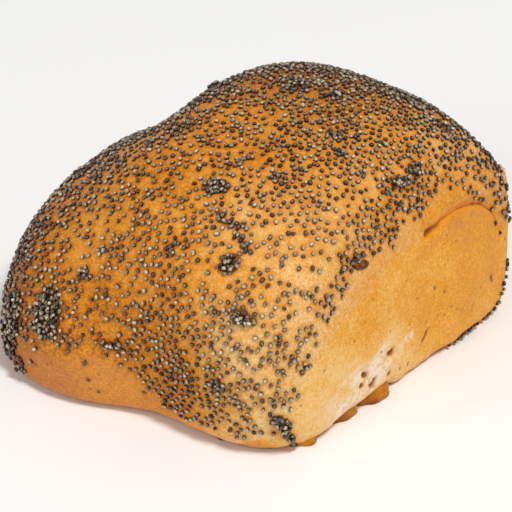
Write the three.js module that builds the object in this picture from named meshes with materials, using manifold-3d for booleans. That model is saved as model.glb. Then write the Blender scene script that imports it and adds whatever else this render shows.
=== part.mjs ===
// A poppy seed bread roll, baked beside another one. Millimetres, +Z up. The origin is the middle of the
// box's bottom, +X points at the flat bare wall where the roll touched its neighbour, and -Y at the lower
// front. The roll is one solid: dough, egg wash drips and seeds are fused.
import * as THREE from "three";
import { mergeVertices } from "three/addons/utils/BufferGeometryUtils.js";
import Module from "manifold-3d";

const wasm = await Module();
wasm.setup();

// Dough: four lumps that grew into one another. A fullness of 2 is an ellipsoid, and more is boxier.
const lumps = [
  { name: "crown", centre: [11, 4, 17.8], half: [38.2, 46.2, 42.6], fullness: 2.8 },
  { name: "heel", centre: [-18.4, -6.3, 5], half: [29.4, 44.9, 36.9], fullness: 2.15 },
  { name: "near corner", centre: [29.5, -20.5, 14.5], half: [14.5, 17.5, 18.5], fullness: 2.3 },
  { name: "far corner", centre: [30.5, 32.5, 16.5], half: [28.5, 16, 28.5], fullness: 2.55 },
];
const blend = 7.3; // sharpness of the join between lumps
const lumpScale = 38; // turns a lump's relative size into millimetres
const core = new THREE.Vector3(9, 4, 17); // every surface point is seen from here
const farthest = 95; // longer than any ray from the core to the crust

// The shallow fold between crown and heel lies along an upright plane and deepens away from the front.
const fold = { normal: [0.88, 0.474], offset: -18.9, depth: 1.2, halfWidth: 7.6, from: -40, to: 0 };

// The wall is flat, leans back towards the dough, and swells in its far half.
const wall = { x: 46.6, lean: THREE.MathUtils.degToRad(3), round: 6.5 };
const swell = { y: 27, z: 16, halfWidth: 15, depth: 1.4 };
const trayRound = 4.8;

const columns = 72; // facets round the dough
const rings = 22; // facets from the top to the middle of the base
const ringCrowding = 1.3; // above 1, the rings crowd towards the rounded foot

// The brow: a crease that arches over the swollen far half of the wall, as an arc of an ellipse.
const brow = { y: 20, z: 14, halfWidth: 22.5, height: 24, from: 25, to: 112, points: 10 };
const groove = { radius: 1.1, sides: 6, steps: 24 };

// The seeded, egg-washed cap ends at this height, by compass angle round the core in degrees.
const seedLine = [
  [-180, 7], [-135, 6], [-114, 14], [-103, 17], [-95, 14], [-80, 5], [-62, 4], [-50, 10], [-40, 31],
  [-29, 38], [-12, 39], [3, 43], [26, 44], [42, 38], [50, 22], [70, 16], [130, 14], [180, 7],
];

const seedHalf = [0.66, 0.56, 0.46]; // half length, half width, half height
const seedSizes = [0.88, 1.12]; // smallest and largest, as a share of that
const seedSink = 0.14; // how deep a seed's foot lies in the crust
const seedSpacing = 7.25;
const seedTries = 6000;
const goldenTurn = Math.PI * (3 - Math.sqrt(5));

// Clumps of seeds, by a point near the crust, with the clump's radius and number of seeds.
const clumps = [
  { at: [-17, -50, 21], radius: 3.2, seeds: 9 },
  { at: [-29, -50, 12], radius: 3.6, seeds: 9 },
  { at: [42.5, -34, 9], radius: 2.6, seeds: 7 },
  { at: [13.5, -23.5, 57], radius: 2.2, seeds: 6 },
  { at: [26, -34, 47], radius: 2.2, seeds: 5 },
  { at: [33, -36, 37], radius: 2.4, seeds: 6 },
  { at: [4, -37, 45], radius: 2.2, seeds: 5 },
  { at: [28.5, -42, 19], radius: 2, seeds: 4 },
  { at: [44, -10, 44], radius: 1.8, seeds: 4 },
];

// A row of seeds caught under the far end of the wall, rising at its end.
const footRow = { x: 47, from: 22, to: 45, low: 2.2, rise: 10.5, seeds: 12 };

// Egg wash that ran down the wall and set on the tray, as half ellipsoids.
const drips = [
  { at: [41.4, -26.4], half: [2.8, 2.6, 2.3] },
  { at: [42.4, -13.6], half: [3.1, 4.3, 1.8] },
  { at: [43, -2.9], half: [3.5, 4.8, 2.1] },
];

const blister = { at: [43.4, -10.6, 41], half: [1.5, 2.3, 1.4] };
const lip = { at: [43.4, 43.6, 35.5], half: [2.2, 2.3, 5.5] }; // torn crust at the far corner

// Holes left where the crust tore: middle, half length, half width, lean from upright in degrees.
const tears = [
  { y: 14.6, z: 7.4, length: 1.9, width: 0.5, lean: -38 },
  { y: -6, z: 6.2, length: 0.8, width: 0.7, lean: 0 },
  { y: -8.9, z: 10.4, length: 0.9, width: 0.6, lean: 35 },
  { y: 0.4, z: 11.5, length: 1.1, width: 0.8, lean: 60 },
];
const tearDepth = 0.9;

const crust = new THREE.MeshStandardMaterial({ color: 0xd9903a, roughness: 0.5, metalness: 0 });
const upright = new THREE.Vector3(0, 0, 1);

// A seed has five sides, and its widest rings lie a little below and above its middle.
const seedProfile = [[0, -1], [0.88, -0.42], [0.84, 0.5], [0, 1]].map(([r, h]) => new THREE.Vector2(r, h));
const seedShape = new THREE.LatheGeometry(seedProfile, 5).rotateX(Math.PI / 2);
const knobShape = new THREE.SphereGeometry(1, 10, 6);
const holeShape = new THREE.IcosahedronGeometry(1, 0);

// A seeded stream of numbers from 0 to 1, so that each build scatters alike.
function stream(seed) {
  let state = seed;
  return () => {
    state = (state + 0x6d2b79f5) | 0;
    let t = Math.imul(state ^ (state >>> 15), 1 | state);
    t = (t + Math.imul(t ^ (t >>> 7), 61 | t)) ^ t;
    return ((t ^ (t >>> 14)) >>> 0) / 4294967296;
  };
}

function smoothMax(a, b, r) {
  const h = THREE.MathUtils.clamp(0.5 + (0.5 * (a - b)) / r, 0, 1);
  return b + (a - b) * h + r * h * (1 - h);
}

// About how many millimetres p lies outside the lumps and the wall, and negative inside.
function outsideDough(p) {
  let sum = 0;
  for (const { centre, half, fullness } of lumps) {
    const parts = [p.x, p.y, p.z].map((v, i) => Math.abs((v - centre[i]) / half[i]) ** fullness);
    sum += Math.max((parts[0] + parts[1] + parts[2]) ** (1 / fullness), 1e-6) ** -blend;
  }
  let d = (sum ** (-1 / blend) - 1) * lumpScale;
  const across = (fold.normal[0] * p.x + fold.normal[1] * p.y - fold.offset) / fold.halfWidth;
  d += fold.depth * THREE.MathUtils.smoothstep(p.y, fold.from, fold.to) * Math.exp(-across * across);
  const away = Math.hypot(p.y - swell.y, p.z - swell.z) / swell.halfWidth;
  const x = wall.x + swell.depth * Math.exp(-away * away);
  return smoothMax(d, (p.x - x) * Math.cos(wall.lean) + (p.z - core.z) * Math.sin(wall.lean), wall.round);
}

// How far a ray leads before isInside fails, found by halving.
function reach(isInside) {
  let low = 1;
  let high = farthest;
  for (let i = 0; i < 30; i++) {
    const middle = (low + high) / 2;
    if (isInside(middle)) low = middle;
    else high = middle;
  }
  return low;
}

// The point of the crust that the core sees at a compass angle and an elevation.
function crustAt(compass, elevation) {
  const direction = new THREE.Vector3(Math.cos(compass), Math.sin(compass), Math.tan(elevation)).normalize();
  const at = (distance) => core.clone().addScaledVector(direction, distance);
  return at(reach((distance) => {
    const p = at(distance);
    return smoothMax(outsideDough(p), -p.z, trayRound) < 0;
  }));
}

// The edge of the flat base, where the rounded foot starts to rise.
function rimAt(compass) {
  const at = (distance) =>
    new THREE.Vector3(core.x + distance * Math.cos(compass), core.y + distance * Math.sin(compass), 0);
  return at(reach((distance) => outsideDough(at(distance)) < -trayRound));
}

// The dough as a sphere's grid: rings from the top down to the rim, then the middle of the base.
function doughGeometry() {
  const grid = new THREE.SphereGeometry(1, columns, rings);
  const position = grid.attributes.position;
  for (let column = 0; column <= columns; column++) {
    const compass = (2 * Math.PI * (column % columns)) / columns + Math.PI;
    const rim = rimAt(compass);
    const lowest = Math.atan2(-core.z, Math.hypot(rim.x - core.x, rim.y - core.y));
    for (let ring = 0; ring <= rings; ring++) {
      const down = 1 - (1 - ring / (rings - 1)) ** ringCrowding;
      let p = rim;
      if (ring === 0) p = crustAt(0, Math.PI / 2);
      else if (ring < rings - 1) p = crustAt(compass, THREE.MathUtils.lerp(Math.PI / 2, lowest, down));
      else if (ring === rings) p = new THREE.Vector3(core.x, core.y, 0);
      position.setXYZ(ring * (columns + 1) + column, p.x, p.y, p.z);
    }
  }
  return grid;
}

const dough = new THREE.Mesh(doughGeometry(), new THREE.MeshBasicMaterial({ side: THREE.DoubleSide }));

// The facet of the dough that the core sees towards p: the point on it, and its outward normal.
function facetTowards(p) {
  const ray = new THREE.Raycaster(core, p.clone().sub(core).normalize());
  const { point, face } = ray.intersectObject(dough)[0];
  return { point, up: face.normal };
}

function solidOf(geometry) {
  const bare = geometry.clone();
  for (const name of Object.keys(bare.attributes)) {
    if (name !== "position") bare.deleteAttribute(name);
  }
  const merged = mergeVertices(bare, 1e-4);
  return new wasm.Manifold(
    new wasm.Mesh({
      numProp: 3,
      vertProperties: merged.attributes.position.array,
      triVerts: new Uint32Array(merged.index.array),
    }),
  );
}

function geometryOf(solid) {
  const mesh = solid.getMesh();
  const geometry = new THREE.BufferGeometry();
  geometry.setAttribute("position", new THREE.BufferAttribute(mesh.vertProperties, 3));
  geometry.setIndex(new THREE.BufferAttribute(mesh.triVerts, 1));
  geometry.computeVertexNormals();
  return geometry;
}

// A shape of half size 1, stretched to its half sizes, turned and placed.
function placed(shape, at, half, turn) {
  const matrix = new THREE.Matrix4().compose(at, turn, new THREE.Vector3(...half));
  return solidOf(shape.clone().applyMatrix4(matrix));
}

function knob({ at, half }) {
  return placed(knobShape, new THREE.Vector3(...at), half, new THREE.Quaternion());
}

// A seed's short axis points out of the crust, and its length is turned at random round that.
function seed({ point, up }, random) {
  const size = THREE.MathUtils.lerp(...seedSizes, random());
  const turn = new THREE.Quaternion().setFromUnitVectors(upright, up);
  turn.multiply(new THREE.Quaternion().setFromAxisAngle(upright, random() * Math.PI));
  const middle = point.clone().addScaledVector(up, seedHalf[2] * size - seedSink);
  return placed(seedShape, middle, seedHalf.map((v) => v * size), turn);
}

function seedLineAt(p) {
  const angle = THREE.MathUtils.radToDeg(Math.atan2(p.y - core.y, p.x - core.x));
  const i = Math.max(1, seedLine.findIndex(([a]) => a >= angle));
  const [[a0, z0], [a1, z1]] = seedLine.slice(i - 1, i + 1);
  return THREE.MathUtils.mapLinear(angle, a0, a1, z0, z1);
}

// A clump's seeds lie on a sunflower spiral on the crust.
function clumpPlaces({ at, radius, seeds }) {
  const { point, up } = facetTowards(new THREE.Vector3(...at));
  const side = new THREE.Vector3().crossVectors(upright, up).normalize();
  const rise = new THREE.Vector3().crossVectors(up, side);
  return Array.from({ length: seeds }, (_, i) => {
    const r = radius * Math.sqrt((i + 0.5) / seeds);
    const turn = i * goldenTurn;
    const p = point.clone().addScaledVector(side, r * Math.cos(turn));
    return facetTowards(p.addScaledVector(rise, r * Math.sin(turn)));
  });
}

function footRowPlaces() {
  return Array.from({ length: footRow.seeds }, (_, i) => {
    const t = i / (footRow.seeds - 1);
    const y = THREE.MathUtils.lerp(footRow.from, footRow.to, t);
    return facetTowards(new THREE.Vector3(footRow.x, y, footRow.low + footRow.rise * t ** 4));
  });
}

// The clumps and the row come first, and single seeds fill the cap between them at their spacing.
function seedSolids() {
  const random = stream(20);
  const places = [...clumps.flatMap(clumpPlaces), ...footRowPlaces()];
  for (let i = 0; i < seedTries; i++) {
    const polar = Math.acos(2 * random() - 1);
    const way = new THREE.Vector3().setFromSphericalCoords(1, polar, 2 * Math.PI * random());
    const place = facetTowards(way.add(core));
    if (place.point.z < seedLineAt(place.point)) continue;
    if (places.every(({ point }) => point.distanceTo(place.point) > seedSpacing)) places.push(place);
  }
  return places.map((place) => seed(place, random));
}

function browGroove() {
  const points = Array.from({ length: brow.points }, (_, i) => {
    const turn = THREE.MathUtils.degToRad(THREE.MathUtils.lerp(brow.from, brow.to, i / (brow.points - 1)));
    const y = brow.y + brow.halfWidth * Math.cos(turn);
    return facetTowards(new THREE.Vector3(wall.x, y, brow.z + brow.height * Math.sin(turn))).point;
  });
  const section = new THREE.Shape().absarc(0, 0, groove.radius, 0, 2 * Math.PI);
  const settings = {
    extrudePath: new THREE.CatmullRomCurve3(points),
    steps: groove.steps,
    curveSegments: groove.sides,
  };
  return solidOf(new THREE.ExtrudeGeometry(section, settings));
}

function tear({ y, z, length, width, lean }) {
  const { point } = facetTowards(new THREE.Vector3(wall.x, y, z));
  const across = new THREE.Vector3(1, 0, 0);
  const turn = new THREE.Quaternion().setFromAxisAngle(across, THREE.MathUtils.degToRad(lean));
  return placed(holeShape, point, [tearDepth, width, length], turn);
}

// The drips' middles lie on the tray, which cuts them flat.
function dripSolids() {
  const tray = solidOf(new THREE.BoxGeometry(120, 120, 40).translate(0, 0, -20));
  return drips.map(({ at, half }) => knob({ at: [...at, 0], half }).subtract(tray));
}

function breadRoll() {
  const cut = solidOf(dough.geometry).subtract(wasm.Manifold.union([browGroove(), ...tears.map(tear)]));
  const added = [...dripSolids(), knob(blister), knob(lip), ...seedSolids()];
  const mesh = new THREE.Mesh(geometryOf(wasm.Manifold.union([cut, ...added])), crust);
  mesh.name = "bread_roll";
  return mesh;
}

const roll = new THREE.Group();
roll.add(breadRoll());

export default roll;
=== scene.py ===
"""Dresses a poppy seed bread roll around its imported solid. Shapes are worked out in millimetres with numpy
and put into the meshes in metres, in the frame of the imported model. The roll lies on its flat base, the bare
wall where it touched its neighbour in the oven looks along +X, and its lower front along -Y."""
import math
from functools import partial

import bpy
import numpy as np
from bpy.props import FloatProperty, FloatVectorProperty, IntProperty, PointerProperty
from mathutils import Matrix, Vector


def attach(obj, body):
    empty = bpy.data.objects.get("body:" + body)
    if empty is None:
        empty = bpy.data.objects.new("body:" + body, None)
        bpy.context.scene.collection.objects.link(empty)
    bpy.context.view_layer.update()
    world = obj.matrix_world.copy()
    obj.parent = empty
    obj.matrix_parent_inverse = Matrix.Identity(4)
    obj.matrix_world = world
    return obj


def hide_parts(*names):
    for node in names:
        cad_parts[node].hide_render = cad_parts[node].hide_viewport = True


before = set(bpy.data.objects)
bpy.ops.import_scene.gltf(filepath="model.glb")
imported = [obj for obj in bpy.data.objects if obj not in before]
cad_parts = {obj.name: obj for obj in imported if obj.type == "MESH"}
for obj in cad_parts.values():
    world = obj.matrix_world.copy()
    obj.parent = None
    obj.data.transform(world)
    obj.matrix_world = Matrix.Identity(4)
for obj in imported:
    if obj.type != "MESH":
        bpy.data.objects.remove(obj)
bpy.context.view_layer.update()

bl_info = {
    "name": "Poppy seed bread roll",
    "version": (1, 0, 0),
    "blender": (4, 5, 0),
    "location": "3D View > Sidebar > Bread roll",
    "description": "Crust, poppy seeds and egg wash of a bread roll",
    "category": "Object",
}

ROLL = "bread_roll"
BODY = "root"
MM = 0.001

# Dough: four lumps that grew into one another: middle, half sizes, and fullness (2 is an ellipsoid).
LUMPS = (
    ((11.0, 4.0, 17.8), (38.2, 46.2, 42.6), 2.8),  # crown
    ((-18.4, -6.3, 5.0), (29.4, 44.9, 36.9), 2.15),  # heel
    ((29.5, -20.5, 14.5), (14.5, 17.5, 18.5), 2.3),  # near corner
    ((30.5, 32.5, 16.5), (28.5, 16.0, 28.5), 2.55),  # far corner
)
BLEND = 7.3
LUMP_SCALE = 38.0
CORE = np.array([9.0, 4.0, 17.0])  # every crust point is seen from here
FARTHEST = 95.0
HALVINGS = 26  # of that stretch, until the crust is found
FOLD = {"across": (0.88, 0.474), "offset": -18.9, "depth": 1.2, "half_width": 7.6, "start": -40, "end": 0}
WALL_X = 46.6
WALL_LEAN = math.radians(3)
WALL_ROUND = 6.5
SWELL = {"y": 27.0, "z": 16.0, "half_width": 15.0, "depth": 1.4}
TRAY_ROUND = 4.8

COLUMNS = 480
RINGS = 182
SOLE_RINGS = 14
COLUMN_CROWDING = 0.42  # columns crowd towards the wall's far half, where the crease is
CROWDED_SIDE = math.radians(22)
RING_CROWDING = 0.3
CROWDED_SHARE = 0.62  # share of the way down to the rim where rings crowd, at the crease

# The brow: a crease that arches over the swollen far half of the wall, as an arc of a squarish ellipse that
# droops to the left of a place. At its left end are a pocket and a knob, by y, z and radius.
BROW = {"y": 20.0, "z": 14.0, "half_width": 22.5, "height": 24.0, "squareness": 2.6, "droop": 0.16,
        "droop_from": 22, "pocket": (14.0, 37.4, 1.3), "knob": (16.6, 40.4, 1.6)}

# Height of the lowest seeds, and of the egg wash's edge, by compass angle round the core in degrees.
SEED_LINE = (
    (-180, 7), (-135, 6), (-114, 14), (-103, 17), (-95, 14), (-80, 5), (-62, 4), (-50, 10), (-40, 31),
    (-29, 38), (-22, 40.5), (-12, 42), (3, 44), (26, 44), (42, 38), (50, 22), (70, 16), (130, 14), (180, 7),
)
WASH_LINE = (
    (-180, 4), (-135, 4), (-114, 12), (-103, 15), (-95, 12), (-80, 3), (-62, 2), (-52, 6), (-48, 15),
    (-45, 20), (-40, 26), (-32, 31), (-22, 34), (-9, 37), (15, 36.5), (30, 38), (41, 35), (46, 24),
    (50, 14), (70, 12), (130, 10), (180, 4),
)

# How brown the crust baked, from 0 to 1, near these places of the roll, and how far each one reaches in mm.
BAKE_REACH = 22
BAKE = (
    ((39, -27, 42), 0.22),  # shoulder above the near corner
    ((30, -38, 32), 0.15),  # near corner
    ((25, -30, 49), 0.35),  # middle
    ((16, -37, 40), 0.60),  # front
    ((6, -8, 60), 0.66),  # top
    ((2, 14, 60), 0.86),  # far side of the top
    ((-3, -44, 28), 0.76),  # lower front
    ((12, -43, 20), 0.72),  # front's lower edge
    ((-14, -36, 40), 0.56),  # left of the fold
    ((-22, -37, 35), 0.72),  # left
    ((-27, -38, 27), 0.92),  # left end
    ((-30, 20, 35), 0.92),  # far left
    ((20, 40, 52), 0.92),  # back
    ((42, 10, 47), 0.40),  # over the wall
    ((41, 29, 49), 0.24),  # shoulder over the brow
    ((45, 20, 41), 0.64),  # brow
    ((46, 16, 26), 0.46),  # wall
    ((46, -12, 24), 0.36),  # wall's near half
    ((46, -5, 6), 0.08),  # wall's foot
    ((45.5, -17, 12), 0.12),  # wall's near foot
    ((44, -30, 9), 0.08),  # near corner's foot
)

# How many single seeds lie on a square millimetre near these places, and how far each one reaches in mm.
SEEDING_REACH = 15
SEEDING = (
    ((24, -26, 50), 0.22),  # middle
    ((38, -26, 42), 0.155),  # shoulder above the near corner
    ((37, -6, 53), 0.29),  # over the wall's near half
    ((34, -38, 20), 0.225),  # near corner
    ((-4, -43, 31), 0.16),  # lower front
    ((10, -42, 22), 0.285),  # front's lower edge
    ((-12, -28, 48), 0.26),  # left of the fold
    ((-26, -36, 32), 0.25),  # left
    ((-30, 15, 40), 0.38),  # far left
    ((4, -4, 60), 0.255),  # top
    ((30, 20, 57), 0.36),  # far top
    ((43, 30, 45), 0.29),  # over the brow
    ((10, 40, 50), 0.42),  # back
)

# Clumps of seeds: a place near the crust, half length up the crust, half width, lean in degrees, number.
CLUMPS = (
    ((-17.0, -48.5, 21.7), 6.6, 3.7, -10, 112),
    ((-29.4, -48.4, 12.6), 9.2, 4.1, 0, 146),
    ((-24.0, -51.0, 5.0), 2.4, 2.0, 0, 14),
    ((-33.6, -37.4, 27.4), 2.6, 2.2, 0, 16),
    ((-31.8, -19.1, 39.0), 2.0, 2.4, 0, 12),
    ((41.4, -35.4, 10.6), 3.3, 1.3, -36, 30),
    ((42.2, -33.4, 6.0), 2.2, 0.8, -34, 10),
    ((42.5, -31.8, 2.6), 1.5, 0.5, -34, 5),
    ((28.0, -42.1, 18.9), 1.8, 2.4, 0, 13),
    ((13.6, -23.8, 56.4), 1.9, 3.1, 4, 30),
    ((25.9, -34.3, 46.9), 2.1, 2.5, 10, 20),
    ((26.4, -30.6, 50.3), 0.8, 2.4, 35, 7),
    ((20.7, -28.9, 53.2), 0.9, 3.4, 20, 9),
    ((32.0, -37.3, 36.8), 1.9, 2.7, 0, 22),
    ((23.4, -14.8, 58.4), 1.2, 1.2, 0, 5),
    ((43.0, -11.3, 43.3), 0.9, 2.3, 15, 9),
    ((39.6, 14.9, 52.1), 1.8, 2.1, 0, 12),
    ((39.8, 8.6, 51.6), 0.9, 4.2, 25, 12),
    ((29.1, 1.0, 58.3), 1.2, 1.5, 0, 7),
    ((24.0, 5.2, 59.6), 1.6, 1.6, 0, 8),
    ((4.4, 15.6, 60.1), 3.4, 3.2, 0, 26),
    ((14.3, 18.4, 59.9), 2.5, 2.5, 0, 14),
    ((-15.6, 11.0, 54.4), 2.4, 2.8, 0, 15),
    ((34.3, 33.0, 52.0), 2.2, 2.0, 0, 12),
    ((0.8, -44.8, 19.0), 1.1, 2.7, 0, 14),
    ((-9.6, -42.6, 32.5), 1.4, 2.2, 0, 10),
    ((11.0, -36.9, 45.6), 1.1, 1.6, 0, 6),
    ((43.2, 42.9, 38.5), 6.5, 0.8, 4, 15),
)

# Single seeds on the wall and under its far foot: y and height on the wall.
WALL_SEEDS = (
    (22.0, 1.6), (24.2, 1.7), (25.3, 1.8), (26.4, 2.3), (27.0, 1.7), (27.8, 2.0), (29.5, 1.9), (30.4, 2.4),
    (31.9, 1.9), (32.5, 2.3), (35.4, 2.0), (36.9, 2.2), (37.9, 2.1), (39.5, 2.6), (40.1, 3.8), (41.2, 3.4),
    (41.9, 5.6), (44.0, 5.6), (42.8, 8.0), (44.6, 11.3), (45.1, 12.4), (45.2, 13.5), (44.9, 8.8),
    (34.4, 37.4), (39.5, 31.6), (42.8, 29.4), (39.2, 27.7), (41.3, 23.5), (10.2, 45.2),
)
DRIP_SEED = (41.9, -26.9, 4.5)

# Open pores in the wall: y, z, half length, half width, lean from upright in degrees, depth.
WALL_PORES = (
    (12.5, 9.4, 2.0, 0.6, -38, 0.9), (-7.2, 6.9, 1.0, 1.5, 10, 1.5), (-10.3, 11.2, 0.8, 1.3, -20, 1.1),
    (-0.6, 12.0, 1.2, 1.5, -15, 1.0), (38.5, 12.0, 1.5, 0.5, 20, 0.7), (-11.6, 9.2, 1.0, 0.6, 30, 0.8),
    (-0.9, 6.3, 0.6, 0.6, 0, 1.0), (6.4, 4.6, 0.5, 0.4, 0, 0.8), (3.2, 5.2, 0.5, 0.4, 0, 0.7),
    (20.5, 27.0, 0.45, 0.4, 0, 0.35), (15.5, 21.7, 1.0, 0.45, 10, 0.4), (18.6, 19.1, 0.7, 0.35, 0, 0.45),
    (20.9, 14.0, 0.6, 0.7, 0, 0.3), (23.2, 16.6, 0.45, 0.4, 0, 0.3), (30.0, 16.7, 0.9, 0.3, 0, 0.25),
    (13.6, 15.2, 1.6, 0.3, -10, 0.3), (29.5, 8.7, 3.0, 0.35, -25, 0.3), (5.2, 29.1, 0.4, 0.35, 0, 0.3),
    (29.8, 34.6, 1.0, 0.3, 0, 0.4), (-2.0, 24.5, 0.5, 0.4, 0, 0.3), (33.5, 12.5, 1.6, 0.3, -28, 0.25),
)

# Open pores in the lower front, by x and z in the same way.
FRONT_PORES = (
    (-4.7, 8.4, 0.7, 1.1, 20, 0.9), (-2.3, 5.5, 0.7, 0.9, 0, 0.9), (14.8, 5.9, 0.6, 1.9, 25, 0.7),
    (-8.3, 14.6, 0.6, 0.7, 0, 0.4), (7.8, 7.9, 0.75, 0.8, 0, 0.9), (12.3, 10.1, 0.5, 0.45, 0, 0.8),
    (-18.6, 8.0, 0.6, 0.9, 0, 0.6), (-26.0, 4.0, 0.5, 0.5, 0, 0.5),
)

# Egg wash that ran down the wall and set on the tray: lobes as x, y and radius, the height, and how dark it is
# drawn at its near end, from 0 to 1, partly scorched and partly painted shade.
DRIPS = (
    (((39.4, -27.3, 2.5), (41.3, -26.1, 2.5)), 5.0, 0.15),
    (((40.5, -16.3, 2.6), (41.4, -13.9, 3.1), (42.1, -11.7, 2.4)), 4.6, 0.75),
    (((41.6, -6.8, 2.6), (42.9, -4.3, 3.2), (43.4, -1.9, 2.9)), 4.8, 0.65),
)

# Small lumps: middle, half sizes, noise by swing, size and series, and a lean by the axis that moves, the
# axis it goes by, and how far. The blister drops along the wall, and the lip leans back upwards.
BLISTER = {"middle": (43.3, -10.1, 41.1), "half": (1.4, 3.0, 1.4), "noise": (0.05, 1.5, 71),
           "lean": (2, 1, -0.34), "clear_of_seeds": 2.9}
LIP = {"middle": (44.3, 44.9, 35.0), "half": (1.3, 1.3, 5.2), "noise": (0.24, 1.9, 81),
       "lean": (0, 2, -0.22)}

# Scattering: the largest share that seeds cover, evening out by its reach, share and rounds, how far off a
# seed's companion lies, and the least distance between any two, in mm.
MOST_COVERED = 0.93
EVENING = (1.9, 0.24, 4)
BESIDE = (0.95, 1.2)
NEAREST = 0.85

# Clumps: jitter and the top seeds' lift in mm, and the tone shifts: painted light on the top seeds, painted
# shade on the others.
GOLDEN_ANGLE = math.pi * (3 - math.sqrt(5))
CLUMP_JITTER = 0.33
CLUMP_LIFT = 0.72
CLUMP_SHIFTS = (0.2, -0.32)

# A seed: how far it tips, the spread of its size and of each half size, and the mean and spread of its tone.
SEED_TIP = 0.2
SEED_SIZES = (0.86, 1.14)
SEED_PROPORTIONS = (0.93, 1.07)
SEED_TONES = (0.5, 0.2)

# Grids of the small forms.
SEED_COLUMNS = 8
SEED_LEVELS = 5
DRIP_COLUMNS = 56
DRIP_RINGS = 17
LUMP_COLUMNS = 40
LUMP_LEVELS = 24

# The stage, in metres: half the floor's width, what the camera and lamps look at, and each lamp's place and
# size. The sky is a warm white.
FLOOR_HALF = 3
LOOKED_AT = Vector((0.0044, 0.0013, 0.020))
LAMPS = (("key", (0.907, -0.243, 1.766), 0.45), ("fill", (-0.343, -1.279, 0.704), 0.9))
SKY_COLOUR = (1.0, 0.985, 0.965, 1)
SKY_STRENGTH = 0.39

# Node settings that recur: a colour laid over another, a colour filtered by another, a * b + c, and a + b.
# A Mix node's factor and two colours are sockets 0, 6 and 7, and a Math node's a, b and c are 0, 1 and 2.
BLEND_COLOURS = {"data_type": "RGBA"}
FILTER_COLOUR = {"data_type": "RGBA", "blend_type": "MULTIPLY"}
SCALE_AND_ADD = {"operation": "MULTIPLY_ADD"}
ADD = {"operation": "ADD"}
FACTOR, UNDER, OVER = 0, 6, 7


def linear(code):
    """A colour written as sRGB hex, in Blender's linear light: each channel c is c / 12.92 when low, and
    otherwise ((c + 0.055) / 1.055) to the power 2.4."""
    channels = [int(code[i:i + 2], 16) / 255 for i in (1, 3, 5)]
    return tuple(c / 12.92 if c <= 0.04045 else ((c + 0.055) / 1.055) ** 2.4 for c in channels)


def fade(x, low, high):
    """0 below low, 1 above high, and 3t^2 - 2t^3 of the share t between them."""
    t = np.clip((x - low) / (high - low), 0, 1)
    return t * t * (3 - 2 * t)


def bell(x, width):
    """exp(-(x / width)^2)."""
    return np.exp(-(x / width) ** 2)


def turned(u, v, angle):
    """The pair u, v in axes that are turned by an angle: u cos + v sin, and v cos - u sin."""
    return u * np.cos(angle) + v * np.sin(angle), v * np.cos(angle) - u * np.sin(angle)


def unit(vectors):
    """The vectors at length 1."""
    return vectors / np.linalg.norm(vectors, axis=-1, keepdims=True)


def full_turn(steps):
    """The angles of even steps once round."""
    return np.arange(steps) / steps * 2 * math.pi


def corner_number(x, y, z, series):
    """A repeatable number from 0 to 1 for each whole-numbered corner, by mixing the bits of its place."""
    mixed = (x * 374761393 + y * 668265263 + z * 2147483647 + series * 1274126177) & 0xFFFFFFFF
    mixed = ((mixed ^ (mixed >> 13)) * 1274126177) & 0xFFFFFFFF
    return ((mixed ^ (mixed >> 16)) & 0xFFFF) / 65535


def mottle(points, size, series):
    """Smooth noise from -1 to 1 with lumps of a size in mm: the numbers of the eight corners of a cube
    round each point, weighted by the quintic fade 6t^5 - 15t^4 + 10t^3 along each side."""
    cell = points / size
    low = np.floor(cell).astype(np.int64)
    t = cell - low
    t = t ** 3 * (t * (t * 6 - 15) + 10)
    total = np.zeros(points.shape[:-1])
    for corner in np.ndindex(2, 2, 2):
        weight = np.prod(np.where(corner, t, 1 - t), axis=-1)
        total += weight * corner_number(*np.moveaxis(low + corner, -1, 0), series)
    return 2 * total - 1


def roughened(level, points, layers):
    """A level with layers of noise on it, each given by its swing, its size in mm and its series."""
    for swing, size, series in layers:
        level = level + swing * mottle(points, size, series)
    return level


def smooth_max(a, b, r):
    """The larger of a and b, rounded over a width r: b + (a - b) h + r h (1 - h), where h is
    0.5 + (a - b) / 2r kept from 0 to 1."""
    h = np.clip(0.5 + 0.5 * (a - b) / r, 0, 1)
    return b + (a - b) * h + r * h * (1 - h)


def outside_dough(points):
    """About how far in mm a point lies outside the dough: a soft least of the four lumps' superellipsoids,
    plus the fold between crown and heel, cut by the leaning, swollen wall."""
    x, y, z = np.moveaxis(points, -1, 0)
    total = 0
    for middle, half, fullness in LUMPS:
        size = np.sum(np.abs((points - middle) / half) ** fullness, axis=-1) ** (1 / fullness)
        total = total + np.maximum(size, 1e-6) ** -BLEND
    distance = (total ** (-1 / BLEND) - 1) * LUMP_SCALE
    across = (FOLD["across"][0] * x + FOLD["across"][1] * y - FOLD["offset"]) / FOLD["half_width"]
    distance = distance + FOLD["depth"] * fade(y, FOLD["start"], FOLD["end"]) * bell(across, 1)
    away = np.hypot(y - SWELL["y"], z - SWELL["z"]) / SWELL["half_width"]
    beyond, _ = turned(x - WALL_X - SWELL["depth"] * bell(away, 1), z - CORE[2], WALL_LEAN)
    return smooth_max(distance, beyond, WALL_ROUND)


def reach(is_inside, shape):
    """How far each ray leads before is_inside fails, by halving the stretch that holds the crust."""
    low = np.ones(shape)
    high = np.full(shape, FARTHEST)
    for _ in range(HALVINGS):
        middle = (low + high) / 2
        inside = is_inside(middle)
        low = np.where(inside, middle, low)
        high = np.where(inside, high, middle)
    return low


def direction(compass, elevation):
    """The unit vector at a compass angle and an elevation."""
    flat = np.cos(elevation)
    return np.stack([np.cos(compass) * flat, np.sin(compass) * flat, np.sin(elevation)], axis=-1)


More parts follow.
